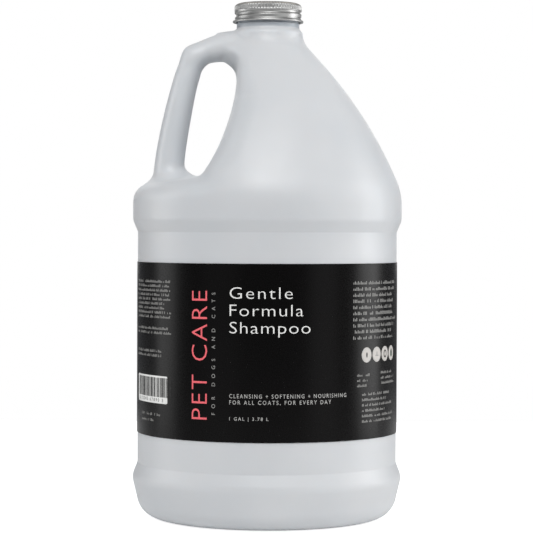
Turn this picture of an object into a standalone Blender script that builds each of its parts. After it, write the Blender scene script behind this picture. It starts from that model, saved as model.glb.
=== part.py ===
"""One-gallon round handle jug in blow-moulded polyethylene, with a 38 mm rolled aluminium screw cap,
its two-ply liner and a wrap-round label. Metres, +Z up. The origin is the centre of the base plane,
the handle is towards -X and the label's front panel faces -Y."""

import math

import bmesh
import bpy
from mathutils import Matrix, Vector

# Jug: turned body, from the base up
BODY_RADIUS = 0.0771
PANEL_RADIUS = 0.0743
BASE_RADIUS = 0.0719
BASE_RING_INNER = 0.0555
PUSH_UP = 0.0050
LOWER_BUMPER_HEIGHT = 0.0236
LOWER_BUMPER_TOP = 0.0316
UPPER_BUMPER_BOTTOM = 0.1634
UPPER_BUMPER_HEIGHT = 0.1702
SHOULDER_START = 0.1866
SHOULDER_BEND = (0.0570, 0.2321)
WALL = 0.0008
BODY_SEGMENTS = 40

# Jug: neck and screw finish, 38 mm with six threads to the inch
COLLAR_RADIUS = 0.0199
COLLAR_FOOT = 0.2726
COLLAR_TOP = 0.2803
BEAD_RADIUS = 0.0179
BEAD_TOP = 0.2828
NECK_RADIUS = 0.0175
BORE_RADIUS = 0.0149
RIM = 0.2920
THREAD_PITCH = 0.0254 / 6
THREAD_FRONT = 0.2868
THREAD_ROUND = 0.00115
THREAD_STEPS = 30

# Handle: centreline in the XZ plane as (x, z, half thickness), from the collar to the shoulder ledge
HANDLE_PATH = [
    (-0.0130, 0.2700, 0.0078),
    (-0.0235, 0.2696, 0.0078),
    (-0.0325, 0.2681, 0.0075),
    (-0.0404, 0.2642, 0.0075),
    (-0.0452, 0.2570, 0.0077),
    (-0.0486, 0.2460, 0.0078),
    (-0.0532, 0.2260, 0.0081),
    (-0.0563, 0.2075, 0.0084),
    (-0.0573, 0.1965, 0.0098),
    (-0.0570, 0.1850, 0.0150),
]
HANDLE_WIDTH_RATIO = 1.45
LUG_START = -0.0316
LUG_END = -0.0190
LUG_TOP = 0.2790
LUG_WIDTH = 0.0100

# Finger pocket: the wall beside the handle as (x, z), from the collar down to the ledge
POCKET_WALL = [
    (-0.0200, 0.2741),
    (-0.0190, 0.2620),
    (-0.0184, 0.2510),
    (-0.0202, 0.2385),
    (-0.0248, 0.2229),
    (-0.0308, 0.2090),
    (-0.0368, 0.1986),
    (-0.0420, 0.1920),
]
LEDGE = 0.1895

# Label, cap and liner
LABEL_BOTTOM = 0.0492
LABEL_TOP = 0.1463
LABEL_LENGTH = 0.450
LABEL_THICKNESS = 0.0002
LABEL_SEGMENTS = 48
CAP_TOP = 0.2943
CAP_HEIGHT = 0.0109
CAP_RADIUS = 0.0192
CURL_RADIUS = 0.0204
SHEET = 0.0003
CAP_SEGMENTS = 60
GROOVE_CENTRE = 0.0191
GROOVE_ROUND = 0.0009
FACING_RADIUS = 0.0179
FACING_THICKNESS = 0.0003
BACKING_RADIUS = 0.0184
BACKING_THICKNESS = 0.0008

GAP = 0.0003
ARC_TOLERANCE = 0.00025


def clear_scene():
    for old in list(bpy.data.objects):
        bpy.data.objects.remove(old, do_unlink=True)


def collection(name):
    """The scene's collection of that name, made when it is first asked for."""
    if name not in bpy.data.collections:
        bpy.context.scene.collection.children.link(bpy.data.collections.new(name))
    return bpy.data.collections[name]


def material(name, color, roughness, metallic=0.0):
    made = bpy.data.materials.new(name)
    made.use_nodes = True
    shader = made.node_tree.nodes["Principled BSDF"]
    shader.inputs["Base Color"].default_value = (*color, 1.0)
    shader.inputs["Roughness"].default_value = roughness
    shader.inputs["Metallic"].default_value = metallic
    return made


def add(name, mesh, finish=None):
    """An object of the part where it has a finish, or else a hidden cutter."""
    obj = bpy.data.objects.new(name, mesh)
    if finish:
        collection("handle_jug").objects.link(obj)
        mesh.materials.append(finish)
    else:
        collection("cutters").objects.link(obj)
        obj.hide_render = True
        obj.display_type = "WIRE"
    return obj


def boolean(target, other, operation):
    modifier = target.modifiers.new(f"{operation.title()} {other.name}", "BOOLEAN")
    modifier.operation = operation
    modifier.object = other


def rounded(corners):
    """The outline through corners (x, z, fillet radius). A fillet's chords keep within the arc tolerance."""
    points = []
    for i, (x, z, radius) in enumerate(corners):
        corner = Vector((x, z))
        if radius == 0:
            points.append(corner)
            continue
        back = (Vector(corners[i - 1][:2]) - corner).normalized()
        ahead = (Vector(corners[i + 1][:2]) - corner).normalized()
        half = back.angle(ahead) / 2
        centre = corner + (back + ahead).normalized() * radius / math.sin(half)
        start = corner + back * radius / math.tan(half) - centre
        end = corner + ahead * radius / math.tan(half) - centre
        sweep = start.angle_signed(end)
        steps = math.ceil(abs(sweep) / (2 * math.acos(max(0.7, 1 - ARC_TOLERANCE / radius))))
        for step in range(steps + 1):
            points.append(centre + Matrix.Rotation(-sweep * step / steps, 2) @ start)
    return points


def offset_inwards(points, distance):
    """The same outline on the inner side of a wall of that thickness."""
    moved = []
    for i, point in enumerate(points):
        along = (points[min(i + 1, len(points) - 1)] - points[max(i - 1, 0)]).normalized()
        moved.append(point + Vector((along.y, -along.x)) * distance)
    return moved


def turn(name, outline, segments, finish=None, angle=2 * math.pi):
    """A shape turned about Z from an outline (x, z) that runs down its outer side."""
    mesh = bpy.data.meshes.new(name)
    edges = [(i, i + 1) for i in range(len(outline) - 1)]
    mesh.from_pydata([(x, 0, z) for x, z in outline], edges, [])
    obj = add(name, mesh, finish)
    screw = obj.modifiers.new("Turn", "SCREW")
    screw.angle = angle
    screw.steps = screw.render_steps = segments
    screw.use_merge_vertices = True
    screw.merge_threshold = 0.00001
    screw.use_smooth_shade = True
    return obj


def mesh_of(obj):
    """A welded mesh made from a curve object, which is then removed."""
    bpy.context.view_layer.update()
    evaluated = obj.evaluated_get(bpy.context.evaluated_depsgraph_get())
    mesh = bpy.data.meshes.new_from_object(evaluated)
    mesh.transform(obj.matrix_world)
    bpy.data.objects.remove(obj, do_unlink=True)
    welded = bmesh.new()
    welded.from_mesh(mesh)
    bmesh.ops.remove_doubles(welded, verts=welded.verts, dist=0.000005)
    bmesh.ops.recalc_face_normals(welded, faces=welded.faces)
    welded.to_mesh(mesh)
    welded.free()
    return mesh


def tube(name, points, radii, side_resolution, smooth):
    """The mesh of a round tube along points, with its own radius at each."""
    curve = bpy.data.curves.new(name, "CURVE")
    curve.dimensions = "3D"
    curve.bevel_depth = 1.0
    curve.bevel_resolution = side_resolution
    curve.use_fill_caps = True
    curve.resolution_u = 2
    spline = curve.splines.new("BEZIER" if smooth else "POLY")
    knots = spline.bezier_points if smooth else spline.points
    knots.add(len(points) - 1)
    for knot, point, radius in zip(knots, points, radii):
        knot.radius = radius
        if smooth:
            knot.co = point
            knot.handle_left_type = knot.handle_right_type = "AUTO"
        else:
            knot.co = (*point, 1)
    obj = bpy.data.objects.new(name, curve)
    collection("cutters").objects.link(obj)
    return mesh_of(obj)


def helix(name, radius, front_height, first_turn, last_turn, thickness, wall=0.0):
    """A right-hand thread: a round tube that passes the front at that height and thins out at its ends."""
    points = []
    radii = []
    first = round(first_turn * THREAD_STEPS)
    last = round(last_turn * THREAD_STEPS)
    for step in range(first, last + 1):
        turns = step / THREAD_STEPS
        angle = 2 * math.pi * turns - math.pi / 2
        points.append((radius * math.cos(angle), radius * math.sin(angle), front_height + THREAD_PITCH * turns))
        steps_from_end = min(step - first, last - step)
        radii.append(thickness * min(1, 0.25 + 0.15 * steps_from_end) + wall)
    return add(name, tube(name, points, radii, 2, smooth=False))


def handle(name, inset):
    """The handle's tube. Its path lies in the XZ plane, so a stretch along Y makes its section oval."""
    points = [(x, 0, z) for x, z, half in HANDLE_PATH]
    radii = [half - inset for x, z, half in HANDLE_PATH]
    mesh = tube(name, points, radii, 5, smooth=True)
    mesh.transform(Matrix.Scale(HANDLE_WIDTH_RATIO, 4, (0, 1, 0)))
    return add(name, mesh)


def lug():
    """The raised pad on the handle's top, beside the collar."""
    size = Vector((LUG_END - LUG_START, LUG_WIDTH, 0.008))
    centre = Vector(((LUG_END + LUG_START) / 2, 0, LUG_TOP - size.z / 2))
    block = bmesh.new()
    bmesh.ops.create_cube(block, matrix=Matrix.LocRotScale(centre, None, size))
    mesh = bpy.data.meshes.new("lug")
    block.to_mesh(mesh)
    block.free()
    return add("lug", mesh)


def pocket(name, inset):
    """What the finger pocket takes off the shoulder: its wall and ledge, pushed through along Y."""
    wall = [Vector((x + inset, z)) for x, z in POCKET_WALL]
    far = -BODY_RADIUS - 0.02
    ledge = LEDGE - inset
    outline = [*wall, Vector((wall[-1].x - 0.006, ledge)), Vector((far, ledge - 0.001)), Vector((far, wall[0].y))]
    curve = bpy.data.curves.new(name, "CURVE")
    curve.dimensions = "2D"
    curve.fill_mode = "BOTH"
    curve.extrude = BODY_RADIUS + 0.02
    spline = curve.splines.new("POLY")
    spline.use_cyclic_u = True
    spline.points.add(len(outline) - 1)
    for knot, point in zip(spline.points, outline):
        knot.co = (point.x, point.y, 0, 1)
    obj = bpy.data.objects.new(name, curve)
    obj.rotation_euler.x = math.pi / 2
    collection("cutters").objects.link(obj)
    return add(name, mesh_of(obj))


def make_jug(finish):
    """The jug is an outer solid less its cavity. Each is a turned body less the pocket, plus the handle."""
    body = rounded([
        (COLLAR_RADIUS, COLLAR_TOP - 0.0012, 0),
        (COLLAR_RADIUS, COLLAR_FOOT, 0.013),
        (*SHOULDER_BEND, 0.240),
        (BODY_RADIUS, SHOULDER_START, 0.036),
        (BODY_RADIUS, UPPER_BUMPER_HEIGHT, 0.007),
        (PANEL_RADIUS, UPPER_BUMPER_BOTTOM, 0.001),
        (PANEL_RADIUS, LOWER_BUMPER_TOP, 0.0015),
        (BODY_RADIUS + 0.0003, LOWER_BUMPER_HEIGHT, 0.009),
        (BASE_RADIUS, 0, 0.0135),
        (BASE_RING_INNER, 0, 0.002),
        (BASE_RING_INNER - 0.006, PUSH_UP - 0.002, 0.004),
        (0, PUSH_UP, 0),
    ])
    neck = rounded([
        (0, RIM, 0),
        (NECK_RADIUS, RIM, 0.0005),
        (NECK_RADIUS, BEAD_TOP, 0),
        (BEAD_RADIUS, BEAD_TOP - 0.0004, 0),
        (BEAD_RADIUS, COLLAR_TOP + 0.0010, 0),
        (COLLAR_RADIUS, COLLAR_TOP, 0.0008),
        (COLLAR_RADIUS, COLLAR_TOP - 0.0012, 0),
    ])
    jug = turn("jug_body", neck[:-1] + body, BODY_SEGMENTS, finish)
    boolean(jug, pocket("pocket", 0), "DIFFERENCE")
    boolean(jug, handle("handle", 0), "UNION")
    boolean(jug, lug(), "UNION")
    boolean(jug, helix("neck_thread", NECK_RADIUS, THREAD_FRONT, -0.5, 0.6, THREAD_ROUND), "UNION")

    bore = [Vector((0, RIM + 0.01)), Vector((BORE_RADIUS, RIM + 0.01)), Vector((BORE_RADIUS, BEAD_TOP - 0.001))]
    inside = offset_inwards(body[1:], WALL)
    inside[-1].x = 0
    cavity = turn("cavity", bore + inside, BODY_SEGMENTS)
    boolean(cavity, pocket("pocket_inside", WALL), "DIFFERENCE")
    boolean(cavity, handle("handle_inside", WALL), "UNION")
    boolean(jug, cavity, "DIFFERENCE")


def make_label(finish):
    """A film wrapped round the label panel. Its two ends stop short of each other at the back."""
    radius = PANEL_RADIUS + GAP
    angle = LABEL_LENGTH / radius
    label = turn("wrap_label", [(radius, LABEL_TOP), (radius, LABEL_BOTTOM)], LABEL_SEGMENTS, finish, angle)
    label.rotation_euler.z = math.pi / 2 + (2 * math.pi - angle) / 2
    film = label.modifiers.new("Film", "SOLIDIFY")
    film.thickness = LABEL_THICKNESS
    film.offset = 1


def make_cap(finish):
    """A cup of rolled sheet with a curled hem. A helical groove is rolled in between the neck's threads."""
    foot = CAP_TOP - CAP_HEIGHT
    groove_front = THREAD_FRONT + THREAD_PITCH / 2
    cap = turn("cap_shell", rounded([
        (0, CAP_TOP, 0),
        (CAP_RADIUS, CAP_TOP, 0.0010),
        (CAP_RADIUS, foot + 0.0018, 0),
        (CURL_RADIUS, foot + 0.0012, 0.0004),
        (CURL_RADIUS, foot, 0.0004),
        (0, foot, 0),
    ]), CAP_SEGMENTS, finish)
    boolean(cap, helix("groove", GROOVE_CENTRE, groove_front, -0.8, 0.4, GROOVE_ROUND), "DIFFERENCE")
    hollow = turn("hollow", rounded([
        (0, CAP_TOP - SHEET, 0),
        (CAP_RADIUS - SHEET, CAP_TOP - SHEET, 0.0007),
        (CAP_RADIUS - SHEET, foot - 0.005, 0),
        (0, foot - 0.005, 0),
    ]), CAP_SEGMENTS)
    ridge = helix("ridge", GROOVE_CENTRE, groove_front, -0.8, 0.4, GROOVE_ROUND, SHEET)
    boolean(hollow, ridge, "DIFFERENCE")
    boolean(cap, hollow, "DIFFERENCE")


def make_disc(name, radius, bottom, thickness, finish):
    turn(name, [(0, bottom + thickness), (radius, bottom + thickness), (radius, bottom), (0, bottom)],
         CAP_SEGMENTS, finish)


def make_liner(backing_finish, facing_finish):
    """Two discs held in the cap's top: a pulpboard backing, and a film facing that seals on the rim."""
    backing_bottom = CAP_TOP - SHEET - GAP - BACKING_THICKNESS
    make_disc("liner_backing", BACKING_RADIUS, backing_bottom, BACKING_THICKNESS, backing_finish)
    make_disc("liner_facing", FACING_RADIUS, RIM + GAP, FACING_THICKNESS, facing_finish)


clear_scene()
make_jug(material("natural polyethylene", (0.62, 0.65, 0.68), 0.42))
make_label(material("printed label film", (0.010, 0.010, 0.010), 0.30))
make_cap(material("rolled aluminium", (0.78, 0.78, 0.77), 0.28, 1.0))
make_liner(material("pulpboard", (0.55, 0.47, 0.36), 0.90), material("liner film", (0.80, 0.80, 0.80), 0.35))
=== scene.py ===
"""The visual model of a one-gallon handle jug of shampoo, with its wrap-round label and aluminium cap.
The object stands at the origin, +Z up, with its handle towards -X and its front panel facing -Y."""

import math

import bmesh
import bpy
import numpy as np
import openvdb
from mathutils import Matrix, Vector


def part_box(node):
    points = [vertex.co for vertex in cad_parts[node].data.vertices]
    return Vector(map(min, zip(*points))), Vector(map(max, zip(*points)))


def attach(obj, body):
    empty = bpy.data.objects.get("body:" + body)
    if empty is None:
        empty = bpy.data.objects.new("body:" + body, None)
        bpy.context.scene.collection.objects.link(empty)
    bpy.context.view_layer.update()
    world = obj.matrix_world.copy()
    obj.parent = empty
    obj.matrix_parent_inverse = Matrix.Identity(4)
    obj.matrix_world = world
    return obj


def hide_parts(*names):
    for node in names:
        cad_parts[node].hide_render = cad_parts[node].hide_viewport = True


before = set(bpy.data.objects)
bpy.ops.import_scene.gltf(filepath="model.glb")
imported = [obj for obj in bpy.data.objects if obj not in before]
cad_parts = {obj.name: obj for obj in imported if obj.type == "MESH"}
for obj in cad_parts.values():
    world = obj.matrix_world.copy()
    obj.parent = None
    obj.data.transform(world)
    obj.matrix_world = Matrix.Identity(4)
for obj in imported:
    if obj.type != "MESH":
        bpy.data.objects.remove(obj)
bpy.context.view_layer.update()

# --------------------------------------------------------------------------------------------------
# Camera: a long lens level with the label's top, tipped down by one degree and rolled by a fifth of one.
# --------------------------------------------------------------------------------------------------
camera_data = bpy.data.cameras.new("camera")
camera_data.lens = 143.9
camera_data.sensor_width = 36.0
camera_data.clip_start = 0.01
camera = bpy.data.objects.new("camera", camera_data)
camera.location = (-0.0005, -1.226, 0.1652)
camera.rotation_euler = (math.radians(90 - 1.01), math.radians(-0.2), 0)
bpy.context.scene.collection.objects.link(camera)
bpy.context.scene.camera = camera
bpy.context.scene.view_settings.view_transform = "Standard"


# --------------------------------------------------------------------------------------------------
# Studio: a white sweep under large soft lights. The room itself is dim, so that the label stays black.
# --------------------------------------------------------------------------------------------------
def linear(hex_colour):
    """An sRGB hex colour as linear RGBA."""
    channels = [int(hex_colour[i:i + 2], 16) / 255 for i in (1, 3, 5)]
    return (*[c / 12.92 if c <= 0.04045 else ((c + 0.055) / 1.055) ** 2.4 for c in channels], 1.0)


def add_node(tree, kind, settings=None, **links):
    """Adds a node, sets its properties, and gives each named input a value or another node's output."""
    node = tree.nodes.new(kind)
    for name, value in (settings or {}).items():
        setattr(node, name, value)
    for name, value in links.items():
        key = int(name[1:]) if name[0] == "i" and name[1:].isdigit() else name.replace("_", " ")
        socket = node.inputs[key]
        if isinstance(value, bpy.types.NodeSocket):
            tree.links.new(value, socket)
        else:
            socket.default_value = value
    return node


def add_math(tree, operation, **inputs):
    """An arithmetic node."""
    return add_node(tree, "ShaderNodeMath", {"operation": operation}, **inputs)


def mix_colours(tree, factor, first, second):
    """A colour between the two. Each is a colour or another node's output."""
    mixer = add_node(tree, "ShaderNodeMix", {"data_type": "RGBA"}, Factor=factor, i6=first, i7=second)
    return mixer.outputs[2]


def spread(tree, value, low, high, to_low=0.0, to_high=1.0):
    """The value's part from low to high, spread over another range."""
    return add_node(tree, "ShaderNodeMapRange", Value=value, From_Min=low, From_Max=high, To_Min=to_low,
                    To_Max=to_high).outputs[0]


smooth_step = {"interpolation_type": "SMOOTHSTEP"}


def new_material(name):
    """A node material, with its tree and its Principled shader."""
    material = bpy.data.materials.new(name)
    material.use_nodes = True
    return material, material.node_tree, material.node_tree.nodes["Principled BSDF"]


def new_object(name, data):
    """An object in the scene that shows that mesh, curve or light."""
    made = bpy.data.objects.new(name, data)
    bpy.context.scene.collection.objects.link(made)
    return made


def finished_mesh(name, shape):
    """The shape as a mesh. The shape is freed."""
    mesh = bpy.data.meshes.new(name)
    shape.to_mesh(mesh)
    shape.free()
    return mesh


def soft_light(name, place, target, width, height, power):
    """A rectangular soft light that faces the target. The camera doesn't see it."""
    data = bpy.data.lights.new(name, "AREA")
    data.shape = "RECTANGLE"
    data.size = width
    data.size_y = height
    data.energy = power
    light = new_object(name, data)
    light.location = place
    light.rotation_euler = (Vector(target) - Vector(place)).to_track_quat("-Z", "Y").to_euler()
    light.visible_camera = False


soft_light("key_right", (0.95, 0.12, 0.26), (0, 0, 0.16), 0.45, 0.90, 5.1)
soft_light("front_right", (0.80, -0.70, 0.35), (0, 0, 0.16), 0.50, 0.80, 1.0)
soft_light("front_left", (-0.75, -0.90, 0.35), (0, 0, 0.16), 0.70, 0.90, 0.5)
soft_light("left", (-0.95, 0.10, 0.26), (0, 0, 0.16), 0.40, 0.90, 2.8)
soft_light("front_high", (0, -1.10, 1.20), (0, 0, 0.14), 1.10, 0.80, 15.2)
soft_light("overhead", (0, -0.10, 1.30), (0, 0, 0.15), 0.90, 0.90, 1.8)
soft_light("back", (0, 1.20, 0.50), (0, 0, 0.15), 1.20, 0.80, 2.6)

world = bpy.data.worlds.new("studio")
bpy.context.scene.world = world
world.use_nodes = True
tree = world.node_tree
tree.nodes.clear()
room = add_node(tree, "ShaderNodeBackground", Color=linear("#f2f5fb"), Strength=0.15)
sweep_white = add_node(tree, "ShaderNodeBackground", Color=(1, 1, 1, 1), Strength=1.0)
seen = add_node(tree, "ShaderNodeLightPath")
mixed = add_node(tree, "ShaderNodeMixShader", i0=seen.outputs["Is Camera Ray"], i1=room.outputs[0],
                 i2=sweep_white.outputs[0])
add_node(tree, "ShaderNodeOutputWorld", Surface=mixed.outputs[0])

floor_half = 0.6
floor_gap = 0.0004
floor_shape = bmesh.new()
bmesh.ops.create_grid(floor_shape, x_segments=1, y_segments=1, size=floor_half)
floor_mesh = finished_mesh("floor", floor_shape)
floor_mesh.transform(Matrix.Translation((0, 0, -floor_gap)))
floor = new_object("floor", floor_mesh)
paint, tree, shader = new_material("white studio paint")
shader.inputs["Base Color"].default_value = linear("#ececec")
shader.inputs["Roughness"].default_value = 0.9
shader.inputs["Specular IOR Level"].default_value = 0.1
shader.inputs["Emission Color"].default_value = (1, 1, 1, 1)
shader.inputs["Emission Strength"].default_value = 0.10
# The camera alone sees this glow, which brings the floor up to the white of the sweep behind it.
glow = add_node(tree, "ShaderNodeEmission", Color=(1, 1, 1, 1), Strength=0.70)
lit = add_node(tree, "ShaderNodeAddShader", i0=shader.outputs[0], i1=glow.outputs[0])
seen = add_node(tree, "ShaderNodeLightPath")
mixed = add_node(tree, "ShaderNodeMixShader", i0=seen.outputs["Is Camera Ray"], i1=shader.outputs[0],
                 i2=lit.outputs[0])
tree.links.new(mixed.outputs[0], tree.nodes["Material Output"].inputs["Surface"])
floor_mesh.materials.append(paint)

# --------------------------------------------------------------------------------------------------
# Jug: one piece of natural high-density polyethylene, blow moulded. The neck, base and label panel are
# turned shapes. The shoulder, finger pocket and hollow handle run into each other, so they are one
# blended surface. The wall is a closed skin with an outer and an inner side that meet at the neck's rim.
# --------------------------------------------------------------------------------------------------
jug_high = Vector(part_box("jug_body")[1])
body_radius = jug_high.x
rim_height = jug_high.z
panel_radius = 0.0743
collar_radius = 0.0199
shank_radius = 0.0180
neck_radius = 0.0175
bore_radius = 0.0149
wall = 0.0009
blend_low = 0.1765
blend_high = 0.2806

grip_top = [
    (-0.0090, 0.2680, 0.0113),
    (-0.0170, 0.2687, 0.0103),
    (-0.0236, 0.2695, 0.0087),
    (-0.0296, 0.2685, 0.0076),
    (-0.0356, 0.2668, 0.0069),
    (-0.0424, 0.2636, 0.0062),
]
grip_side = [
    (-0.0424, 0.2636, 0.0062),
    (-0.0454, 0.2555, 0.0070),
    (-0.0484, 0.2452, 0.0073),
    (-0.0522, 0.2281, 0.0079),
    (-0.0553, 0.2110, 0.0083),
    (-0.0564, 0.2007, 0.0087),
    (-0.0558, 0.1945, 0.0100),
    (-0.0548, 0.1900, 0.0117),
]
handle_width_ratio = 1.42

pocket_wall = [
    (-0.0420, 0.1850),
    (-0.0372, 0.1970),
    (-0.0330, 0.2040),
    (-0.0281, 0.2135),
    (-0.0240, 0.2239),
    (-0.0208, 0.2342),
    (-0.0188, 0.2440),
    (-0.0181, 0.2515),
    (-0.0180, 0.2580),
    (-0.0190, 0.2650),
    (-0.0260, 0.2760),
    (-0.0450, 0.2860),
]
pocket_draft = 0.05
pocket_fillet = 0.005
ledge_height = 0.1915
ledge_rise = 0.0030
grip_fillet = 0.0045
lug_fillet = 0.0015
jug_steps = 192


def rounded(corners, chord=0.0012):
    """The outline through corners (radius, height, fillet). A fillet is an arc of chords that long."""
    points = []
    for i, (x, z, fillet) in enumerate(corners):
        corner = Vector((x, z))
        if fillet == 0:
            points.append(corner)
            continue
        back = (Vector(corners[i - 1][:2]) - corner).normalized()
        ahead = (Vector(corners[i + 1][:2]) - corner).normalized()
        half = back.angle(ahead) / 2
        centre = corner + (back + ahead).normalized() * fillet / math.sin(half)
        start = corner + back * fillet / math.tan(half) - centre
        end = corner + ahead * fillet / math.tan(half) - centre
        sweep = start.angle_signed(end)
        steps = min(24, max(4, math.ceil(abs(sweep) * fillet / chord)))
        for step in range(steps + 1):
            points.append(centre + Matrix.Rotation(-sweep * step / steps, 2) @ start)
    return np.array(points)


def smooth_curve(knots, steps=6):
    """Points along a Catmull-Rom curve through the knots. A knot may carry a radius as its last value."""
    knots = np.array(knots)
    padded = np.vstack([2 * knots[0] - knots[1], knots, 2 * knots[-1] - knots[-2]])
    points = []
    for a, b, c, d in zip(padded[:-3], padded[1:-2], padded[2:-1], padded[3:]):
        for t in np.arange(steps) / steps:
            points.append(0.5 * (2 * b + (c - a) * t + (2 * a - 5 * b + 4 * c - d) * t * t
                                 + (3 * b - a - 3 * c + d) * t ** 3))
    return np.vstack([points, knots[-1]])


body_outline = rounded([
    (shank_radius, blend_high + 0.001, 0),
    (shank_radius, 0.2799, 0.0010),
    (collar_radius, 0.2775, 0.0016),
    (collar_radius, 0.2726, 0.013),
    (0.0563, 0.2321, 0.240),
    (body_radius, 0.1866, 0.036),
    (body_radius, 0.1702, 0.007),
    (panel_radius, 0.1634, 0.0012),
    (panel_radius, 0.0316, 0.0018),
    (body_radius + 0.0003, 0.0236, 0.009),
    (0.0719, 0, 0.0135),
    (0.0555, 0, 0.002),
    (0.0495, 0.0030, 0.004),
    (0, 0.0050, 0),
])
grip_curves = [smooth_curve(grip_top), smooth_curve(grip_side)]
wall_curve = smooth_curve(pocket_wall)


def blend_least(a, b, width):
    """The lesser of two distances, with a fillet where they are about equal."""
    near = np.maximum(width - np.abs(a - b), 0) / width
    return np.minimum(a, b) - near * near * width / 4


def handle_distance(x, y, z):
    """Distance from the handle's surface: two tapering runs along centrelines, blended at the corner."""
    y = y / handle_width_ratio
    runs = []
    for curve in grip_curves:
        nearest = np.full(x.shape, 1.0)
        for (ax, az, ar), (bx, bz, br) in zip(curve[:-1], curve[1:]):
            dx, dz = bx - ax, bz - az
            along = np.clip(((x - ax) * dx + (z - az) * dz) / (dx * dx + dz * dz), 0, 1)
            across = np.sqrt((x - ax - dx * along) ** 2 + y * y + (z - az - dz * along) ** 2)
            nearest = np.minimum(nearest, across - ar - (br - ar) * along)
        runs.append(nearest)
    return blend_least(runs[0], runs[1], grip_fillet)


def lug_distance(x, y, z):
    """Distance from the raised pad on the handle's top, beside the collar."""
    half = np.array((0.0044, 0.0042, 0.0035))
    centre = np.array((-0.0248, 0.0, 0.2740))
    corner = 0.0012
    q = [np.abs(v - c) - h + corner for v, c, h in zip((x, y, z), centre, half)]
    outside = np.sqrt(sum(np.maximum(v, 0) ** 2 for v in q))
    return outside + np.minimum(np.maximum(np.maximum(q[0], q[1]), q[2]), 0) - corner


def shoulder_distance(x, y, z):
    """Signed distance from the jug's outer skin between the label panel and the neck, negative inside."""
    heights = body_outline[::-1]
    rising = heights[heights[:, 1] > 0.165]
    radius = np.interp(z, rising[:, 1], rising[:, 0])
    slope = np.gradient(rising[:, 0], rising[:, 1])
    steep = np.sqrt(1 + np.interp(z, rising[:, 1], slope) ** 2)
    body = (np.hypot(x, y) - radius) / steep
    wall_x = np.interp(z, wall_curve[:, 1], wall_curve[:, 0])
    wall_slope = np.interp(z, wall_curve[:, 1], np.gradient(wall_curve[:, 0], wall_curve[:, 1]))
    pocket = (wall_x + pocket_draft * np.sqrt(y * y + 0.00002) - x) / np.sqrt(1 + wall_slope ** 2)
    ledge = ledge_height + ledge_rise * np.clip((x + 0.060) / 0.018, 0, 1)
    kept = blend_least(pocket, z - ledge + 0.0012 * (y / 0.05) ** 2, pocket_fillet)
    edge = np.interp(z, (0.190, 0.205, 0.240, 0.266), (0.010, 0.013, 0.013, 0.003))
    body = -blend_least(-body, -kept, edge)
    left = x < -0.004
    if left.any():
        px, py, pz = x[left], y[left], z[left]
        root = np.interp(pz, (0.196, 0.215, 0.245, 0.260, 0.268, 0.275),
                         (0.007, 0.008, 0.010, 0.008, 0.006, 0.0015))
        grip = blend_least(body[left], handle_distance(px, py, pz), root)
        body[left] = blend_least(grip, lug_distance(px, py, pz), lug_fillet)
    return body


def blended_skin(depth, cell):
    """Points and quads of the blended surface at that depth under the outer skin, level at both ends."""
    reach = 0.082
    spare = 3.5 * cell
    low = np.array((-reach, -reach, blend_low - spare))
    count = np.ceil((np.array((reach, reach, blend_high + spare)) - low) / cell).astype(int)
    axes = [start + np.arange(n) * cell for start, n in zip(low, count)]
    grid = openvdb.FloatGrid(0.01)
    grid.copyFromArray((shoulder_distance(*np.meshgrid(*axes, indexing="ij")) + depth).astype(np.float32))
    points, quads = grid.convertToQuads(0.0)
    points = points * cell + low
    for _ in range(3):
        value = shoulder_distance(*points.T) + depth
        step = 0.0002
        gradient = np.stack([
            shoulder_distance(*(points + np.eye(3)[i] * step).T)
            - shoulder_distance(*(points - np.eye(3)[i] * step).T) for i in range(3)
        ], 1) / (2 * step)
        size = np.maximum((gradient ** 2).sum(1), 0.05)
        points = points - gradient * np.clip(value / size, -cell, cell)[:, None]
    mesh = bpy.data.meshes.new("skin")
    mesh.from_pydata(points.tolist(), [], quads.tolist())
    shape = bmesh.new()
    shape.from_mesh(mesh)
    bpy.data.meshes.remove(mesh)
    for height, upwards in ((blend_low, -1), (blend_high, 1)):
        everything = shape.verts[:] + shape.edges[:] + shape.faces[:]
        bmesh.ops.bisect_plane(shape, geom=everything, dist=cell * 0.02, plane_co=(0, 0, height),
                               plane_no=(0, 0, upwards), clear_outer=True)
    return shape


def turned_rings(steps, outline, swell=None):
    """Rings of points round Z for each (radius, height). A swell adds to the radius by angle and height."""
    angles = np.linspace(-math.pi, math.pi, steps, endpoint=False)
    rings = []
    for radius, height in outline:
        heights = np.full(steps, height)
        radii = radius + (swell(angles, heights) if swell else 0 * angles)
        rings.append(np.stack([radii * np.cos(angles), radii * np.sin(angles), heights], 1))
    return rings


def add_rings(shape, rings):
    """Adds turned rings to the shape, joined by quads. A ring on the axis closes to one point."""
    made = []
    for ring in rings:
        if np.hypot(*ring[0][:2]) < 1e-6:
            made.append([shape.verts.new(ring[0])])
        else:
            made.append([shape.verts.new(point) for point in ring])
    for a, b in zip(made[:-1], made[1:]):
        count = max(len(a), len(b))
        for i in range(count):
            j = (i + 1) % count
            corners = [a[i % len(a)], a[j % len(a)], b[j % len(b)], b[i % len(b)]]
            shape.faces.new(list(dict.fromkeys(corners)))
    return made


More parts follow.
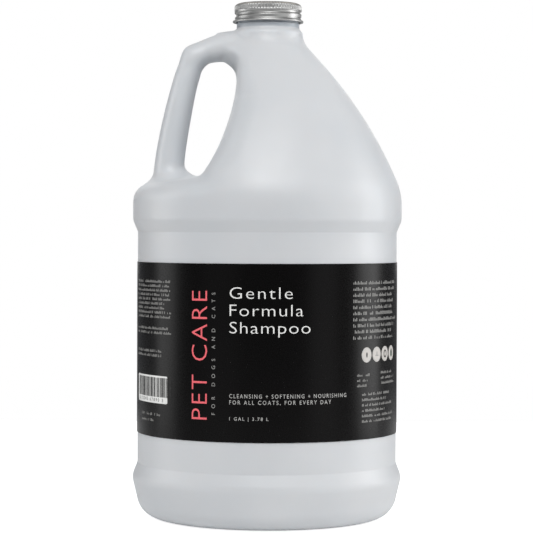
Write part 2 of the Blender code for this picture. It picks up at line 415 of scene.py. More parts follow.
def join_rings(shape, a, b):
    """Closes the band between two rings whose points lie at unlike angles, one triangle at a time."""
    def by_angle(ring):
        return sorted(ring, key=lambda vert: math.atan2(vert.co.y, vert.co.x))

    a, b = by_angle(a), by_angle(b)
    turn_a = [math.atan2(v.co.y, v.co.x) for v in a] + [math.atan2(a[0].co.y, a[0].co.x) + 2 * math.pi]
    turn_b = [math.atan2(v.co.y, v.co.x) for v in b] + [math.atan2(b[0].co.y, b[0].co.x) + 2 * math.pi]
    i = j = 0
    while i < len(a) or j < len(b):
        if j >= len(b) or (i < len(a) and turn_a[i + 1] <= turn_b[j + 1]):
            shape.faces.new((a[i], a[(i + 1) % len(a)], b[j % len(b)]))
            i += 1
        else:
            shape.faces.new((a[i % len(a)], b[(j + 1) % len(b)], b[j]))
            j += 1


def open_ring(shape, height, radius):
    """The open edge at that height, set on the true circle."""
    ring = [v for v in shape.verts if abs(v.co.z - height) < 1e-4 and v.is_boundary]
    for vert in ring:
        flat = Vector((vert.co.x, vert.co.y, 0)).normalized() * radius
        vert.co = (flat.x, flat.y, height)
    return ring


def offset_inwards(outline, distance):
    """The same outline on the inner side of the wall."""
    along = np.gradient(outline, axis=0)
    along /= np.linalg.norm(along, axis=1)[:, None]
    return outline + np.stack([along[:, 1], -along[:, 0]], 1) * distance


thread_pitch = 0.0254 / 6
thread_front = 0.2864


def thread_swell(angles, heights, front, first, last, reach, half_width):
    """How far a right-hand thread stands out. It passes -Y at that height and fades at its ends."""
    swell = np.zeros_like(angles)
    for whole in range(-2, 3):
        turns = (angles + math.pi / 2) / (2 * math.pi) + whole
        across = np.abs(heights - front - thread_pitch * turns) / half_width
        ends = np.clip(np.minimum(turns - first, last - turns) / 0.06, 0, 1)
        ridge = np.where(across < 1, 0.5 + 0.5 * np.cos(math.pi * np.clip(across * 1.25 - 0.25, 0, 1)), 0)
        swell = np.maximum(swell, ridge * ends * ends * (3 - 2 * ends) * reach)
    return swell


def neck_thread(angles, heights):
    """The thread on the neck's finish, a little over one turn long."""
    return thread_swell(angles, heights, thread_front, first=-0.52, last=0.62, reach=0.00112,
                        half_width=0.00125)


def make_jug():
    """The jug's closed skin: the outer side, the neck and its thread, then the inner side."""
    seam = 0.0008
    shape = blended_skin(0.0, 0.0012)
    at_low = open_ring(shape, blend_low, body_radius)
    at_high = open_ring(shape, blend_high, shank_radius)
    below = body_outline[body_outline[:, 1] < blend_low - seam]
    lower = add_rings(shape, turned_rings(jug_steps, below))
    join_rings(shape, at_low, lower[0])
    neck = rounded([
        (shank_radius, 0.2813, 0),
        (shank_radius, 0.2826, 0.0002),
        (neck_radius, 0.2830, 0),
    ], 0.0003)
    finish = [(neck_radius, z) for z in np.linspace(0.2832, rim_height - 0.0008, 30)]
    rim = rounded([
        (neck_radius, rim_height - 0.0007, 0),
        (neck_radius, rim_height, 0.0005),
        (bore_radius, rim_height, 0.0004),
        (bore_radius, rim_height - 0.0010, 0),
        (bore_radius, 0.2830, 0.002),
        (shank_radius - wall, 0.2812, 0),
    ], 0.0002)
    upper = add_rings(shape, turned_rings(jug_steps, neck) + turned_rings(jug_steps, finish, neck_thread)
                      + turned_rings(jug_steps, rim))
    join_rings(shape, at_high, upper[0])

    inner = blended_skin(wall, 0.0026)
    open_ring(inner, blend_low, body_radius - wall)
    open_ring(inner, blend_high, shank_radius - wall)
    inner_mesh = finished_mesh("inner", inner)
    before = len(shape.verts)
    shape.from_mesh(inner_mesh)
    bpy.data.meshes.remove(inner_mesh)
    shape.verts.ensure_lookup_table()
    inner_points = shape.verts[before:]
    inner_low = [v for v in inner_points if abs(v.co.z - blend_low) < 1e-5 and v.is_boundary]
    inner_high = [v for v in inner_points if abs(v.co.z - blend_high) < 1e-5 and v.is_boundary]
    join_rings(shape, inner_high, upper[-1])
    inside = offset_inwards(body_outline, wall)
    inside[-1] = (0, inside[-2][1])
    inside = inside[inside[:, 1] < blend_low - seam]
    inner_lower = add_rings(shape, turned_rings(jug_steps, inside))
    join_rings(shape, inner_low, inner_lower[0])
    bmesh.ops.recalc_face_normals(shape, faces=shape.faces)
    mesh = finished_mesh("jug", shape)
    mesh.shade_smooth()
    mesh.set_sharp_from_angle(angle=math.radians(50))
    return mesh


jug = new_object("jug", make_jug())

# Natural high-density polyethylene straight from the mould: milky and a little translucent, with a satin
# skin that copies the mould's fine blasting, soft clouds in the resin and a raised line where the mould's
# halves meet. The neck's shank above the collar is painted a darker blue-grey, as painted shade for the
# cap's shadow.
natural_hdpe, tree, shader = new_material("natural hdpe blow moulded")
shader.inputs["IOR"].default_value = 1.54
shader.inputs["Subsurface Weight"].default_value = 0.30
shader.inputs["Subsurface Radius"].default_value = (0.75, 0.9, 1.0)
shader.inputs["Subsurface Scale"].default_value = 0.004
place = add_node(tree, "ShaderNodeTexCoord").outputs["Object"]
clouds = add_node(tree, "ShaderNodeTexNoise", Vector=place, Scale=22.0, Detail=2.0, Roughness=0.45)
milk = spread(tree, clouds.outputs[0], 0.3, 0.7)
resin = mix_colours(tree, milk, linear("#cfd3d7"), linear("#d6d9dc"))
axes = add_node(tree, "ShaderNodeSeparateXYZ", Vector=place)
# Painted shade: above the collar, the neck's shank is mixed to a darker blue-grey to stand in for the
# shadow under the cap.
painted_neck_shade = add_node(tree, "ShaderNodeMapRange", smooth_step, Value=axes.outputs["Z"],
                     From_Min=blend_high - 0.0010, From_Max=blend_high + 0.0002)
resin_with_painted_shade = mix_colours(tree, painted_neck_shade.outputs[0], resin, linear("#aeb4bb"))
tree.links.new(resin_with_painted_shade, shader.inputs["Base Color"])
smears = add_node(tree, "ShaderNodeMapping", Vector=place, Scale=(1.0, 1.0, 0.25))
flow = add_node(tree, "ShaderNodeTexNoise", Vector=smears.outputs[0], Scale=140.0, Detail=3.0)
satin = spread(tree, flow.outputs[0], 0.3, 0.7, 0.36, 0.46)
tree.links.new(satin, shader.inputs["Roughness"])
blasting = add_node(tree, "ShaderNodeTexNoise", Vector=place, Scale=1100.0, Detail=2.0)
ripple = add_node(tree, "ShaderNodeTexNoise", Vector=place, Scale=95.0, Detail=1.0)
off_line = add_math(tree, "ABSOLUTE", i0=axes.outputs["Y"])
parting = add_node(tree, "ShaderNodeMapRange", smooth_step, Value=off_line.outputs[0],
                   From_Min=0.0, From_Max=0.0005, To_Min=1.0, To_Max=0.0)
fine = add_node(tree, "ShaderNodeBump", Height=blasting.outputs[0], Strength=0.16, Distance=0.00006)
wavy = add_node(tree, "ShaderNodeBump", Height=ripple.outputs[0], Strength=0.10, Distance=0.0010,
                Normal=fine.outputs[0])
lined = add_node(tree, "ShaderNodeBump", Height=parting.outputs[0], Strength=0.8, Distance=0.00015,
                 Normal=wavy.outputs[0])
tree.links.new(lined.outputs[0], shader.inputs["Normal"])
jug.data.materials.append(natural_hdpe)
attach(jug, "jug")
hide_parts("jug_body")


# --------------------------------------------------------------------------------------------------
# Label: one printed polypropylene film, stuck round the panel. Its ends stop short of each other behind.
# --------------------------------------------------------------------------------------------------
label_low, label_high = [Vector(corner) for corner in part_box("wrap_label")]
label_length = 0.450
film_thickness = 0.0002
label_radius = label_high.x


def curve_onto_label(mesh, stand_off=0.0):
    """Bends a flat mesh (x along the label, y its height, z outwards) round the label's film."""
    shape = bmesh.new()
    shape.from_mesh(mesh)
    lows = min(v.co.x for v in shape.verts)
    highs = max(v.co.x for v in shape.verts)
    facet = 0.0020
    for cut in np.arange(math.ceil(lows / facet), math.ceil(highs / facet)) * facet:
        everything = shape.verts[:] + shape.edges[:] + shape.faces[:]
        bmesh.ops.bisect_plane(shape, geom=everything, dist=2e-6, plane_co=(cut, 0, 0), plane_no=(1, 0, 0))
    bmesh.ops.dissolve_degenerate(shape, dist=5e-7, edges=shape.edges)
    for vert in shape.verts:
        turn = vert.co.x / label_radius
        radius = label_radius + stand_off + vert.co.z
        vert.co = (radius * math.sin(turn), -radius * math.cos(turn), vert.co.y)
    shape.to_mesh(mesh)
    shape.free()


def thicken(shape, thickness):
    """Gives a flat shape that thickness, upwards."""
    made = bmesh.ops.extrude_face_region(shape, geom=shape.faces[:])
    raised = [v for v in made["geom"] if isinstance(v, bmesh.types.BMVert)]
    bmesh.ops.translate(shape, vec=(0, 0, thickness), verts=raised)
    bmesh.ops.recalc_face_normals(shape, faces=shape.faces)


def flat_plate(width, height, thickness, corner, x=0.0, y=0.0):
    """A flat plate with rounded corners, centred at (x, y)."""
    outline = []
    for i in range(4):
        sx, sy = ((1, 1), (-1, 1), (-1, -1), (1, -1))[i]
        for step in range(7):
            turn = math.pi / 2 * (i + step / 6)
            outline.append((x + sx * (width / 2 - corner) + corner * math.cos(turn),
                            y + sy * (height / 2 - corner) + corner * math.sin(turn), 0))
    shape = bmesh.new()
    shape.faces.new([shape.verts.new(point) for point in outline])
    thicken(shape, thickness)
    return finished_mesh("plate", shape)


label_height = label_high.z - label_low.z
outer_length = label_length * label_radius / (label_radius - film_thickness)
label_middle = (label_high.z + label_low.z) / 2
label_corner = 0.0025
label_mesh = flat_plate(outer_length, label_height, film_thickness, label_corner, 0, label_middle)
curve_onto_label(label_mesh, -film_thickness)
label_mesh.shade_smooth()
label_mesh.set_sharp_from_angle(angle=math.radians(40))
label = new_object("label", label_mesh)

# Matt-laminated polypropylene: near black, with a soft sheen and the faint ripple of machine-laid film.
label_film, tree, shader = new_material("matt laminated polypropylene")
shader.inputs["Base Color"].default_value = linear("#070606")
shader.inputs["Specular IOR Level"].default_value = 0.13
place = add_node(tree, "ShaderNodeTexCoord").outputs["Object"]
grain = add_node(tree, "ShaderNodeTexNoise", Vector=place, Scale=1500.0, Detail=2.0)
ripple = add_node(tree, "ShaderNodeTexNoise", Vector=place, Scale=60.0, Detail=1.0)
matt = spread(tree, grain.outputs[0], 0.3, 0.7, 0.24, 0.32)
tree.links.new(matt, shader.inputs["Roughness"])
fine = add_node(tree, "ShaderNodeBump", Height=grain.outputs[0], Strength=0.15, Distance=0.00003)
wavy = add_node(tree, "ShaderNodeBump", Height=ripple.outputs[0], Strength=0.12, Distance=0.0004,
                Normal=fine.outputs[0])
tree.links.new(wavy.outputs[0], shader.inputs["Normal"])
label_mesh.materials.append(label_film)
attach(label, "jug")
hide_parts("wrap_label")


# --------------------------------------------------------------------------------------------------
# Label print: opaque white, grey and coral inks on the film, each in a layer 0.03 mm thick.
# The words are generic. Lines too fine to read are rows of short strokes, as they look from arm's length.
# --------------------------------------------------------------------------------------------------
ink_thickness = 0.00003
print_layer = 0.00001


def ink(name, hex_full, hex_thin):
    """A screen ink. Its cover varies a little with the mesh it was pressed through, between two shades."""
    material, tree, shader = new_material(name)
    shader.inputs["Specular IOR Level"].default_value = 0.3
    place = add_node(tree, "ShaderNodeTexCoord").outputs["Object"]
    cover = add_node(tree, "ShaderNodeTexNoise", Vector=place, Scale=900.0, Detail=2.0)
    shade = mix_colours(tree, cover.outputs[0], linear(hex_full), linear(hex_thin))
    tree.links.new(shade, shader.inputs["Base Color"])
    dry = spread(tree, cover.outputs[0], 0.3, 0.7, 0.40, 0.50)
    tree.links.new(dry, shader.inputs["Roughness"])
    return material


white_ink = ink("white screen ink", "#f7f7f4", "#e6e6e3")
grey_ink = ink("grey screen ink", "#a6a5a2", "#93928f")
pale_ink = ink("pale grey screen ink", "#c9c8c5", "#b4b3b0")
coral_ink = ink("coral screen ink", "#f8727a", "#ee666e")
badge_ink = ink("warm grey screen ink", "#d4cfca", "#c4bfba")
black_ink = ink("black screen ink", "#181817", "#20201f")
leaf_ink = ink("dark green screen ink", "#1f3a2f", "#2a4639")


def put_on_label(name, mesh, finish, layers=0):
    """Bends a flat print onto the label and makes it a piece of the jug."""
    curve_onto_label(mesh, print_layer + layers * (ink_thickness + print_layer))
    mesh.materials.clear()
    mesh.materials.append(finish)
    piece = new_object(name, mesh)
    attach(piece, "jug")


def plain_mesh(obj):
    """The evaluated object as a plain mesh. The object is removed."""
    bpy.context.view_layer.update()
    mesh = bpy.data.meshes.new_from_object(obj.evaluated_get(bpy.context.evaluated_depsgraph_get()))
    bpy.data.objects.remove(obj, do_unlink=True)
    return mesh


def words(text, left, base, capital, width, letter_width=1.0, upright=False, thin=False):
    """A line of type as a flat mesh. Its capitals have that height, and it is spaced to the width."""
    capital_of_size_one = 0.69
    scale = capital / capital_of_size_one
    spacing = 1.0
    lengths = []
    # The first two settings show how the length grows with the spacing, and the third has the right length.
    for trial in range(3):
        type_curve = bpy.data.curves.new("words", "FONT")
        type_curve.body = text
        type_curve.resolution_u = 3
        type_curve.space_character = spacing
        type_curve.extrude = ink_thickness / 2
        type_curve.offset = -0.011 if thin else 0.0
        mesh = plain_mesh(new_object("words", type_curve))
        xs = [v.co.x for v in mesh.vertices]
        lengths.append((max(xs) - min(xs)) * scale * letter_width)
        spacing = 1.2 if trial == 0 else 1.0 + 0.2 * (width - lengths[0]) / (lengths[1] - lengths[0])
    mesh.transform(Matrix.Translation((-min(xs), 0, ink_thickness / 2)))
    mesh.transform(Matrix.Diagonal((scale * letter_width, scale, 1, 1)))
    if upright:
        mesh.transform(Matrix.Rotation(math.pi / 2, 4, "Z"))
    mesh.transform(Matrix.Translation((left, base, 0)))
    shape = bmesh.new()
    shape.from_mesh(mesh)
    bmesh.ops.remove_doubles(shape, verts=shape.verts, dist=1e-7)
    bmesh.ops.recalc_face_normals(shape, faces=shape.faces)
    shape.to_mesh(mesh)
    shape.free()
    return mesh


margin = -0.0206
title = (("Gentle", 0.1273, 0.0345), ("Formula", 0.1179, 0.0405), ("Shampoo", 0.1085, 0.0446))
for number, (text, base, width) in enumerate(title, 1):
    line = words(text, margin, base, 0.0064, width, 1.22, thin=True)
    put_on_label(f"title_line_{number}", line, white_ink)
claims = "CLEANSING + SOFTENING + NOURISHING"
put_on_label("claim_line_1", words(claims, margin, 0.0734, 0.0022, 0.0670, 0.84), pale_ink)
uses = "FOR ALL COATS, FOR EVERY DAY"
put_on_label("claim_line_2", words(uses, margin, 0.0700, 0.0022, 0.0571, 0.86), pale_ink)
put_on_label("contents_line", words("1 GAL | 3.78 L", margin, 0.0613, 0.0018, 0.0215), pale_ink)
side_word = words("PET CARE", -0.0337, 0.0612, 0.0100, 0.0702, upright=True, thin=True)
put_on_label("side_word", side_word, coral_ink)
side_line = words("FOR DOGS AND CATS", -0.0289, 0.0640, 0.0021, 0.0665, upright=True)
put_on_label("side_line", side_line, grey_ink)


def fine_print_tree():
    """Rows of short upright strokes of unlike heights, with gaps between words: type too small to read."""
    tree = bpy.data.node_groups.new("fine print", "GeometryNodeTree")
    tree.interface.new_socket("Geometry", in_out="OUTPUT", socket_type="NodeSocketGeometry")
    for name, kind in (("Rows", "Int"), ("Strokes", "Int"), ("Row pitch", "Float"),
                       ("Stroke pitch", "Float"), ("Height", "Float"), ("Weight", "Float"),
                       ("Ragged", "Float"), ("Seed", "Int")):
        tree.interface.new_socket(name, in_out="INPUT", socket_type="NodeSocket" + kind)
    tree.interface.new_socket("Ink", in_out="INPUT", socket_type="NodeSocketMaterial")
    given = add_node(tree, "NodeGroupInput").outputs
    rows = add_node(tree, "GeometryNodeMeshLine", Count=given["Rows"])
    across = add_node(tree, "ShaderNodeCombineXYZ", Y=given["Row pitch"])
    down = add_node(tree, "ShaderNodeVectorMath", {"operation": "SCALE"}, i0=across.outputs[0], Scale=-1.0)
    tree.links.new(down.outputs[0], rows.inputs["Offset"])
    step = add_node(tree, "ShaderNodeCombineXYZ", X=given["Stroke pitch"])
    strokes = add_node(tree, "GeometryNodeMeshLine", Count=given["Strokes"], Offset=step.outputs[0])
    laid = add_node(tree, "GeometryNodeInstanceOnPoints", Points=rows.outputs[0],
                    Instance=strokes.outputs[0])
    points = add_node(tree, "GeometryNodeRealizeInstances", Geometry=laid.outputs[0])
    index = add_node(tree, "GeometryNodeInputIndex")
    row = add_math(tree, "DIVIDE", i0=index.outputs[0], i1=given["Strokes"])
    row_number = add_math(tree, "FLOOR", i0=row.outputs[0])
    place = add_math(tree, "FRACT", i0=row.outputs[0])
    end = add_node(tree, "FunctionNodeRandomValue", {"data_type": "FLOAT"}, i2=given["Ragged"], i3=1.0,
                   ID=row_number.outputs[0], Seed=given["Seed"])
    past_end = add_node(tree, "FunctionNodeCompare", {"operation": "GREATER_THAN"}, i0=place.outputs[0],
                        i1=end.outputs[1])
    gap_seed = add_math(tree, "ADD", i0=given["Seed"], i1=1.0)
    gap = add_node(tree, "FunctionNodeRandomValue", {"data_type": "FLOAT"}, i2=0.0, i3=1.0,
                   ID=index.outputs[0], Seed=gap_seed.outputs[0])
    is_gap = add_node(tree, "FunctionNodeCompare", {"operation": "LESS_THAN"}, i0=gap.outputs[1], i1=0.17)
    dropped = add_node(tree, "FunctionNodeBooleanMath", {"operation": "OR"}, i0=past_end.outputs[0],
                       i1=is_gap.outputs[0])
    tall_seed = add_math(tree, "ADD", i0=given["Seed"], i1=2.0)
    tall = add_node(tree, "FunctionNodeRandomValue", {"data_type": "FLOAT"}, i2=0.0, i3=1.0,
                    ID=index.outputs[0], Seed=tall_seed.outputs[0])
    height = add_node(tree, "ShaderNodeMapRange", {"interpolation_type": "STEPPED"}, Value=tall.outputs[1],
                      From_Min=0.0, From_Max=1.0, To_Min=0.62, To_Max=1.0, Steps=1.0)
    thickness = add_node(tree, "ShaderNodeCombineXYZ", X=given["Weight"], Y=given["Height"],
                         Z=ink_thickness)
    stroke = add_node(tree, "GeometryNodeMeshCube", Size=thickness.outputs[0])
    half = add_node(tree, "ShaderNodeVectorMath", {"operation": "SCALE"}, i0=thickness.outputs[0],
                    Scale=0.5)
    stood = add_node(tree, "GeometryNodeTransform", Geometry=stroke.outputs["Mesh"],
                     Translation=half.outputs[0])
    kept = add_node(tree, "FunctionNodeBooleanMath", {"operation": "NOT"}, i0=dropped.outputs[0])
    size = add_node(tree, "ShaderNodeCombineXYZ", X=1.0, Y=height.outputs[0], Z=1.0)
    placed = add_node(tree, "GeometryNodeInstanceOnPoints", Points=points.outputs[0],
                      Instance=stood.outputs[0], Selection=kept.outputs[0], Scale=size.outputs[0])
    real = add_node(tree, "GeometryNodeRealizeInstances", Geometry=placed.outputs[0])
    coloured = add_node(tree, "GeometryNodeSetMaterial", Geometry=real.outputs[0], Material=given["Ink"])
    add_node(tree, "NodeGroupOutput", Geometry=coloured.outputs[0])
    return tree


def node_mesh(tree, **settings):
    """The mesh that a geometry tree makes, with its named inputs set."""
    holder = new_object("holder", bpy.data.meshes.new("holder"))
    modifier = holder.modifiers.new("Nodes", "NODES")
    modifier.node_group = tree
    sockets = {item.name: item.identifier for item in tree.interface.items_tree if item.in_out == "INPUT"}
    for name, value in settings.items():
        modifier[sockets[name.replace("_", " ")]] = value
    return plain_mesh(holder)


fine_print = fine_print_tree()


def small_lines(name, left, top, width, rows, row_pitch, ragged, seed, height=0.0014):
    """A block of fine print whose first row's top is at that height."""
    stroke_pitch = height * 0.62
    strokes = round(width / stroke_pitch)
    mesh = node_mesh(fine_print, Rows=rows, Strokes=strokes, Row_pitch=row_pitch, Stroke_pitch=stroke_pitch,
                     Height=height, Weight=height * 0.30, Ragged=ragged, Seed=seed, Ink=grey_ink)
    mesh.transform(Matrix.Translation((left, top - height, 0)))
    put_on_label(name, mesh, grey_ink)


small_lines("directions_text", -0.1010, 0.1366, 0.0425, 9, 0.00246, 0.80, 3)
small_lines("small_text", -0.1010, 0.1105, 0.0425, 2, 0.00246, 0.85, 5)
small_lines("storage_text", -0.1010, 0.0978, 0.0390, 2, 0.00246, 0.80, 8)
small_lines("maker_text", -0.0915, 0.0625, 0.0255, 2, 0.00330, 0.60, 12)
small_lines("story_text", 0.0513, 0.1366, 0.0480, 10, 0.00336, 0.80, 21, 0.0018)
small_lines("free_from_left", 0.0544, 0.0855, 0.0130, 3, 0.00290, 0.55, 31)
small_lines("free_from_right", 0.0760, 0.0862, 0.0200, 3, 0.00290, 0.60, 35)
small_lines("benefits_text", 0.0583, 0.0748, 0.0340, 6, 0.00298, 0.60, 41)

panel = flat_plate(0.0380, 0.0153, ink_thickness, 0.0010, -0.0808, 0.07575)
put_on_label("barcode_panel", panel, white_ink)
bar_random = np.random.default_rng(7)
bar_count = 34
bar_height = 0.0108
bar_shape = bmesh.new()
bar_left = -0.0972
for width in bar_random.choice((0.00045, 0.00080, 0.00120), bar_count, p=(0.5, 0.3, 0.2)):
    place = Vector((bar_left + width / 2, 0.0770, ink_thickness / 2))
    size = Vector((width, bar_height, ink_thickness))
    bmesh.ops.create_cube(bar_shape, matrix=Matrix.LocRotScale(place, None, size))
    bar_left += width + bar_random.choice((0.00022, 0.00036, 0.00066))
put_on_label("barcode_bars", finished_mesh("bars", bar_shape), black_ink, 1)
small_digits = words("0 12345 67890 5", -0.0965, 0.0691, 0.0018, 0.0310)
put_on_label("barcode_digits", small_digits, black_ink, 1)

badge_height = 0.0958
badge_diameters = (0.0084, 0.0076, 0.0068)


def badge_mark(corners, middle):
    """A small flat shape through those corners (mm from the badge's middle), as a print."""
    shape = bmesh.new()
    shape.faces.new([shape.verts.new((middle + x / 1000, badge_height + y / 1000, 0)) for x, y in corners])
    thicken(shape, ink_thickness)
    return finished_mesh("mark", shape)


def oval(width, height, steps=8):
    """The corners of an oval, clockwise from its top."""
    right = [(width / 2 * math.sin(math.pi * i / steps), height / 2 * math.cos(math.pi * i / steps))
             for i in range(steps + 1)]
    return right + [(-x, y) for x, y in right[-2:0:-1]]


badge_marks = [
    oval(1.3, 3.0),
    [(-1.6, -0.9), (1.6, -0.9), (1.6, -0.3), (0.4, -0.3), (0.4, 1.5), (-0.4, 1.5), (-0.4, -0.3),
     (-1.6, -0.3)],
    oval(3.6, 4.6),
    oval(2.8, 4.6),
]
for number, (middle, mark) in enumerate(zip((0.0620, 0.0714, 0.0808, 0.0902), badge_marks), 1):
    discs = [flat_plate(size, size, ink_thickness, size / 2 - 0.00001, middle, badge_height)
             for size in badge_diameters]
    put_on_label(f"badge_{number}", discs[0], badge_ink)
    put_on_label(f"badge_{number}_rim", discs[1], pale_ink, 1)
    put_on_label(f"badge_{number}_face", discs[2], badge_ink, 2)
    mark_ink = {2: grey_ink, 4: leaf_ink}.get(number, black_ink)
    put_on_label(f"badge_{number}_mark", badge_mark(mark, middle), mark_ink, 3)
put_on_label("badge_3_middle", badge_mark(oval(2.0, 2.8), 0.0808), badge_ink, 4)

# --------------------------------------------------------------------------------------------------
# Cap: one disc of aluminium sheet drawn into a cup. Its top edge is knurled for grip, a thread is rolled
# into its side and its hem is curled outwards.
# --------------------------------------------------------------------------------------------------
cap_low, cap_high = [Vector(corner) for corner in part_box("cap_shell")]
cap_radius = 0.0193
waist_radius = 0.0190
curl_radius = cap_high.x
sheet = 0.0003
rib_count = 72
rib_depth = 0.00045
knurl_top = cap_high.z - 0.0006
knurl_foot = cap_high.z - 0.0041


def cap_groove(angles, heights):
    """The groove rolled into the cap, between the turns of the neck's thread."""
    return -thread_swell(angles, heights, thread_front + thread_pitch / 2, first=-0.85, last=0.42,
                         reach=0.0009, half_width=0.00150)


def knurl_tree():
    """Presses upright ribs into a band of a turned shape."""
    tree = bpy.data.node_groups.new("knurl", "GeometryNodeTree")
    tree.interface.new_socket("Geometry", in_out="OUTPUT", socket_type="NodeSocketGeometry")
    tree.interface.new_socket("Geometry", in_out="INPUT", socket_type="NodeSocketGeometry")
    for name in ("Ribs", "Depth", "Top", "Foot", "Radius"):
        tree.interface.new_socket(name, in_out="INPUT", socket_type="NodeSocketFloat")
    tree.interface.new_socket("Metal", in_out="INPUT", socket_type="NodeSocketMaterial")
    given = add_node(tree, "NodeGroupInput").outputs
    position = add_node(tree, "GeometryNodeInputPosition").outputs[0]
    axes = add_node(tree, "ShaderNodeSeparateXYZ", Vector=position).outputs
    turn = add_math(tree, "ARCTAN2", i0=axes["Y"], i1=axes["X"])
    wave = add_math(tree, "MULTIPLY", i0=turn.outputs[0], i1=given["Ribs"])
    ribs = add_math(tree, "COSINE", i0=wave.outputs[0])
    dips = add_node(tree, "ShaderNodeMapRange", Value=ribs.outputs[0], From_Min=-1.0, From_Max=1.0)
    above = add_math(tree, "SUBTRACT", i0=axes["Z"], i1=given["Foot"])
    below = add_math(tree, "SUBTRACT", i0=given["Top"], i1=axes["Z"])
    inside = add_math(tree, "MINIMUM", i0=above.outputs[0], i1=below.outputs[0])
    band = add_node(tree, "ShaderNodeMapRange", smooth_step, Value=inside.outputs[0],
                    From_Min=-0.0001, From_Max=0.0005)
    flat = add_node(tree, "ShaderNodeCombineXYZ", X=axes["X"], Y=axes["Y"])
    reach = add_node(tree, "ShaderNodeVectorMath", {"operation": "LENGTH"}, i0=flat.outputs[0])
    outer = add_math(tree, "GREATER_THAN", i0=reach.outputs["Value"], i1=given["Radius"])
    pressed = add_math(tree, "MULTIPLY", i0=dips.outputs[0], i1=band.outputs[0])
    depth = add_math(tree, "MULTIPLY", i0=pressed.outputs[0], i1=given["Depth"])
    inwards = add_math(tree, "MULTIPLY", i0=depth.outputs[0], i1=-1.0)
    out = add_node(tree, "ShaderNodeVectorMath", {"operation": "NORMALIZE"}, i0=flat.outputs[0])
    shift = add_node(tree, "ShaderNodeVectorMath", {"operation": "SCALE"}, i0=out.outputs[0],
                     Scale=inwards.outputs[0])
    ribbed = add_node(tree, "GeometryNodeSetPosition", Geometry=given["Geometry"],
                      Selection=outer.outputs[0], Offset=shift.outputs[0])
    real = add_node(tree, "GeometryNodeRealizeInstances", Geometry=ribbed.outputs[0])
    coloured = add_node(tree, "GeometryNodeSetMaterial", Geometry=real.outputs[0], Material=given["Metal"])
    add_node(tree, "NodeGroupOutput", Geometry=coloured.outputs[0])
    return tree


cap_steps = rib_count * 7
crown = rounded([
    (0, cap_high.z, 0),
    (cap_radius - 0.0020, cap_high.z, 0.0013),
    (cap_radius, cap_high.z - 0.0014, 0.0009),
    (cap_radius, cap_high.z - 0.0020, 0),
], 0.0002)
band = [(cap_radius, z) for z in np.linspace(cap_high.z - 0.0022, cap_high.z - 0.0044, 10)]
side_top = cap_high.z - 0.0047
side = [(np.interp(z, (cap_low.z, side_top), (waist_radius, cap_radius - 0.00005)), z)
        for z in np.linspace(side_top, cap_low.z + 0.0022, 30)]
hem = rounded([
    (waist_radius, cap_low.z + 0.0021, 0),
    (waist_radius - 0.0003, cap_low.z + 0.0015, 0.0006),
    (curl_radius - 0.0002, cap_low.z + 0.0011, 0.0005),
    (curl_radius, cap_low.z, 0.0005),
    (waist_radius, cap_low.z, 0.0005),
    (waist_radius - 0.0004, cap_low.z + 0.0010, 0),
], 0.00014)
lining = [(radius - sheet, z) for radius, z in side[::-1][1:]]
ceiling = [(cap_radius - sheet - 0.0003, knurl_foot), (cap_radius - sheet - 0.0003, cap_high.z - 0.0016),
           (cap_radius - sheet - 0.0009, cap_high.z - 0.0004), (0, cap_high.z - 0.0004)]
shape = bmesh.new()
cap_rings = []
for outline, swell in ((crown, None), (band, None), (side, cap_groove), (hem, None), (lining, cap_groove),
                       (ceiling, None)):
    cap_rings += turned_rings(cap_steps, outline, swell)
add_rings(shape, cap_rings)
bmesh.ops.recalc_face_normals(shape, faces=shape.faces)
blank_mesh = finished_mesh("cap", shape)

# Rolled aluminium, clear lacquered: bright, with fine lines round the cap from the forming rolls and a
# few dull patches where caps have rubbed together.
rolled_aluminium, tree, shader = new_material("rolled aluminium sheet")
shader.inputs["Metallic"].default_value = 1.0
place = add_node(tree, "ShaderNodeTexCoord").outputs["Object"]
axes = add_node(tree, "ShaderNodeSeparateXYZ", Vector=place).outputs
turn = add_math(tree, "ARCTAN2", i0=axes["Y"], i1=axes["X"])
lines = add_node(tree, "ShaderNodeCombineXYZ", X=turn.outputs[0], Z=axes["Z"])
stretched = add_node(tree, "ShaderNodeMapping", Vector=lines.outputs[0], Scale=(0.6, 1.0, 5200.0))
rolled = add_node(tree, "ShaderNodeTexNoise", Vector=stretched.outputs[0], Scale=1.0, Detail=3.0)
rubs = add_node(tree, "ShaderNodeTexNoise", Vector=place, Scale=260.0, Detail=3.0)
dull = spread(tree, rubs.outputs[0], 0.35, 0.65, 0.38, 0.48)
tree.links.new(dull, shader.inputs["Roughness"])
tone = mix_colours(tree, rolled.outputs[0], linear("#a6a6a5"), linear("#c6c6c4"))
tree.links.new(tone, shader.inputs["Base Color"])
scored = add_node(tree, "ShaderNodeBump", Height=rolled.outputs[0], Strength=0.25, Distance=0.00003)
tree.links.new(scored.outputs[0], shader.inputs["Normal"])

blank = new_object("cap_blank", blank_mesh)
modifier = blank.modifiers.new("Knurl", "NODES")
modifier.node_group = knurl_tree()
items = modifier.node_group.interface.items_tree
sockets = {item.name: item.identifier for item in items if item.in_out == "INPUT"}
for name, value in (("Ribs", float(rib_count)), ("Depth", rib_depth), ("Top", knurl_top),
                    ("Foot", knurl_foot), ("Radius", cap_radius - 0.0011), ("Metal", rolled_aluminium)):
    modifier[sockets[name]] = value
cap_mesh = plain_mesh(blank)
cap_mesh.shade_smooth()
cap = new_object("cap", cap_mesh)
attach(cap, "cap")
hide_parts("cap_shell")

# --------------------------------------------------------------------------------------------------
# Liner: a loose wad inside the cap. Grey pulpboard springs against the rim, and a polyethylene film glued
# under it makes the seal. The rim has pressed its ring into both.
# --------------------------------------------------------------------------------------------------
liner_steps = 144


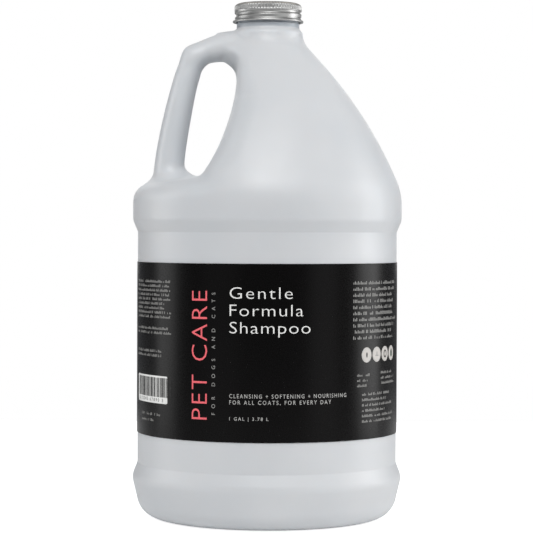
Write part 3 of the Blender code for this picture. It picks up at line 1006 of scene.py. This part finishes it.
def liner_disc(name, node, finish, pressed):
    """A turned disc with eased edges, and the rim's ring pressed that deep into its underside."""
    low, high = [Vector(corner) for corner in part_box(node)]
    middle = (bore_radius + neck_radius) / 2
    outline = rounded([
        (0, high.z, 0),
        (high.x, high.z, 0.00009),
        (high.x, low.z, 0.00009),
        (neck_radius + 0.0001, low.z, 0.0001),
        (neck_radius - 0.0003, low.z + pressed, 0.0002),
        (middle, low.z + pressed, 0),
        (bore_radius + 0.0003, low.z + pressed, 0.0002),
        (bore_radius - 0.0001, low.z, 0.0001),
        (0, low.z, 0),
    ], 0.0001)
    shape = bmesh.new()
    add_rings(shape, turned_rings(liner_steps, outline))
    bmesh.ops.recalc_face_normals(shape, faces=shape.faces)
    mesh = finished_mesh(name, shape)
    mesh.shade_smooth()
    mesh.materials.append(finish)
    disc = new_object(name, mesh)
    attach(disc, "liner")
    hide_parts(node)


# Pulpboard: pressed waste paper, grey and felted, with darker flecks and loose fibres about 1 mm long.
pulpboard, tree, shader = new_material("pressed pulpboard")
shader.inputs["Roughness"].default_value = 0.92
shader.inputs["Specular IOR Level"].default_value = 0.2
place = add_node(tree, "ShaderNodeTexCoord").outputs["Object"]
felt = add_node(tree, "ShaderNodeTexNoise", Vector=place, Scale=1000.0, Detail=5.0, Roughness=0.65)
flecks = spread(tree, felt.outputs[0], 0.35, 0.65)
paper = mix_colours(tree, flecks, linear("#a39c91"), linear("#c9c4ba"))
tree.links.new(paper, shader.inputs["Base Color"])
fuzz = add_node(tree, "ShaderNodeBump", Height=felt.outputs[0], Strength=0.6, Distance=0.0001)
tree.links.new(fuzz.outputs[0], shader.inputs["Normal"])

# Polyethylene film: white, waxy and a little crinkled by the glue under it.
seal_film, tree, shader = new_material("white polyethylene film")
shader.inputs["IOR"].default_value = 1.51
place = add_node(tree, "ShaderNodeTexCoord").outputs["Object"]
crinkle = add_node(tree, "ShaderNodeTexNoise", Vector=place, Scale=300.0, Detail=3.0)
waxy = spread(tree, crinkle.outputs[0], 0.3, 0.7, 0.28, 0.40)
tree.links.new(waxy, shader.inputs["Roughness"])
film = mix_colours(tree, crinkle.outputs[0], linear("#eceeee"), linear("#f6f7f6"))
tree.links.new(film, shader.inputs["Base Color"])
creased = add_node(tree, "ShaderNodeBump", Height=crinkle.outputs[0], Strength=0.3, Distance=0.0002)
tree.links.new(creased.outputs[0], shader.inputs["Normal"])
liner_disc("liner_pulp", "liner_backing", pulpboard, 0.00012)
liner_disc("liner_film", "liner_facing", seal_film, 0.00008)
